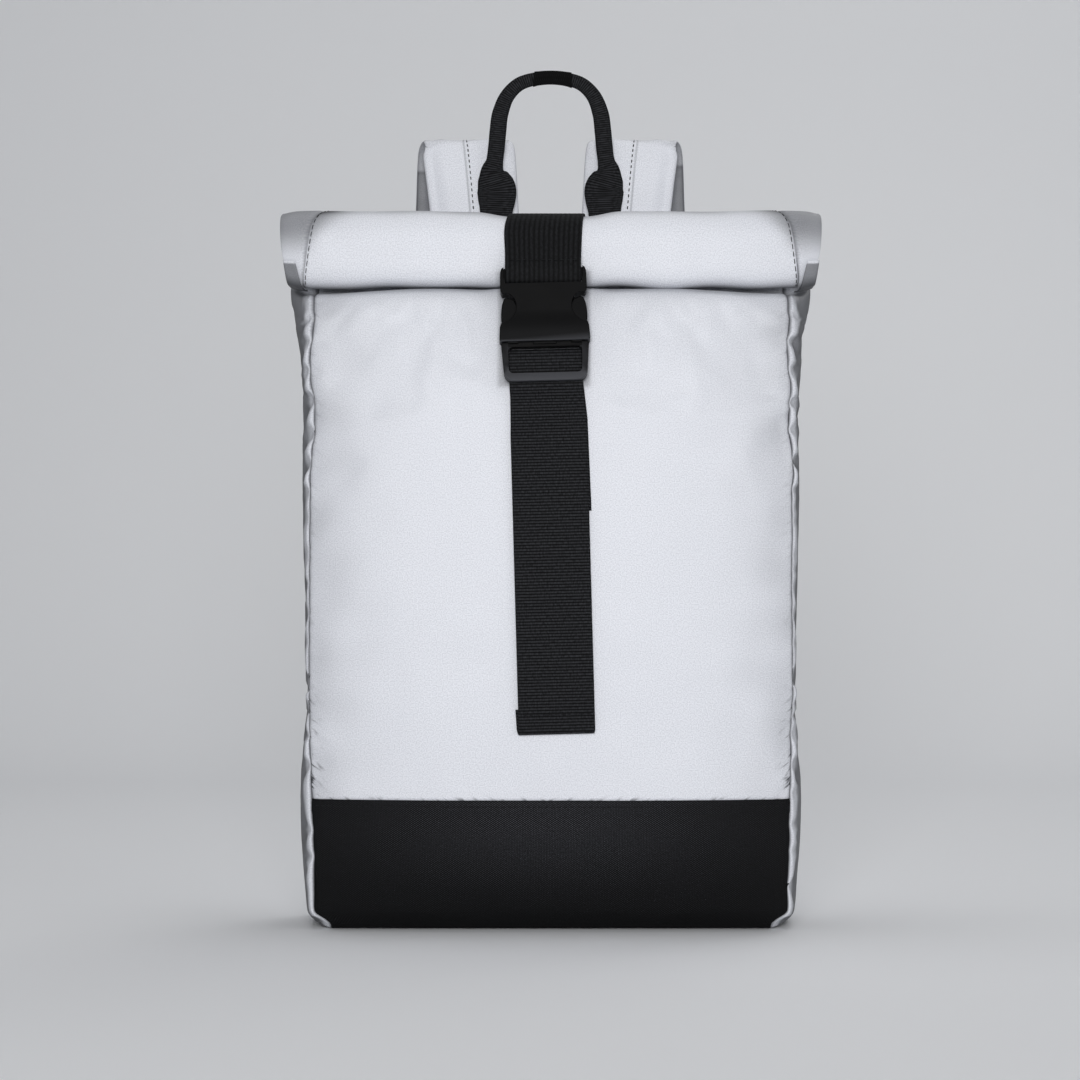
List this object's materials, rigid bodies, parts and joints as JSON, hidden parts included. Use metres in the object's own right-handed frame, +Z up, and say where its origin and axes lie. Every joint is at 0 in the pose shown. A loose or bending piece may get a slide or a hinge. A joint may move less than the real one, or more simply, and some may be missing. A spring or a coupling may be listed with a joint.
{
  "type": "roll-top backpack",
  "caption": "Roll-top backpack of reflective cloth with a woven base, a webbing closure with side-release buckle, a carry handle and padded shoulder straps.",
  "frame": {"origin": "on the floor under the middle of the base", "axes": "+Z up, the front with the buckle faces -Y, +X to the right as seen from the front"},
  "size_m": [0.3522, 0.1715, 0.581],
  "materials": {
    "reflective_cloth": "fine silver-white reflective coating on a thin woven cloth",
    "black_cloth": "matt black woven polyester",
    "webbing": "black ribbed polyester webbing",
    "moulded_plastic": "black moulded acetal, finely textured"
  },
  "bodies": {
    "root": {"front_panel": "reflective_cloth", "back_panel": "reflective_cloth", "gusset_left": "reflective_cloth", "gusset_right": "reflective_cloth", "base_panel": "black_cloth", "closure_strap": "webbing", "buckle_socket": "moulded_plastic", "buckle_plug": "moulded_plastic", "tail_strap": "webbing", "carry_handle": "webbing", "shoulder_strap_left": "reflective_cloth", "shoulder_strap_right": "reflective_cloth", "strap_loop_left": "webbing", "strap_loop_right": "webbing", "strap_adjuster_left": "moulded_plastic", "strap_adjuster_right": "moulded_plastic", "strap_web_left": "webbing", "strap_web_right": "webbing"}
  },
  "joints": []
}
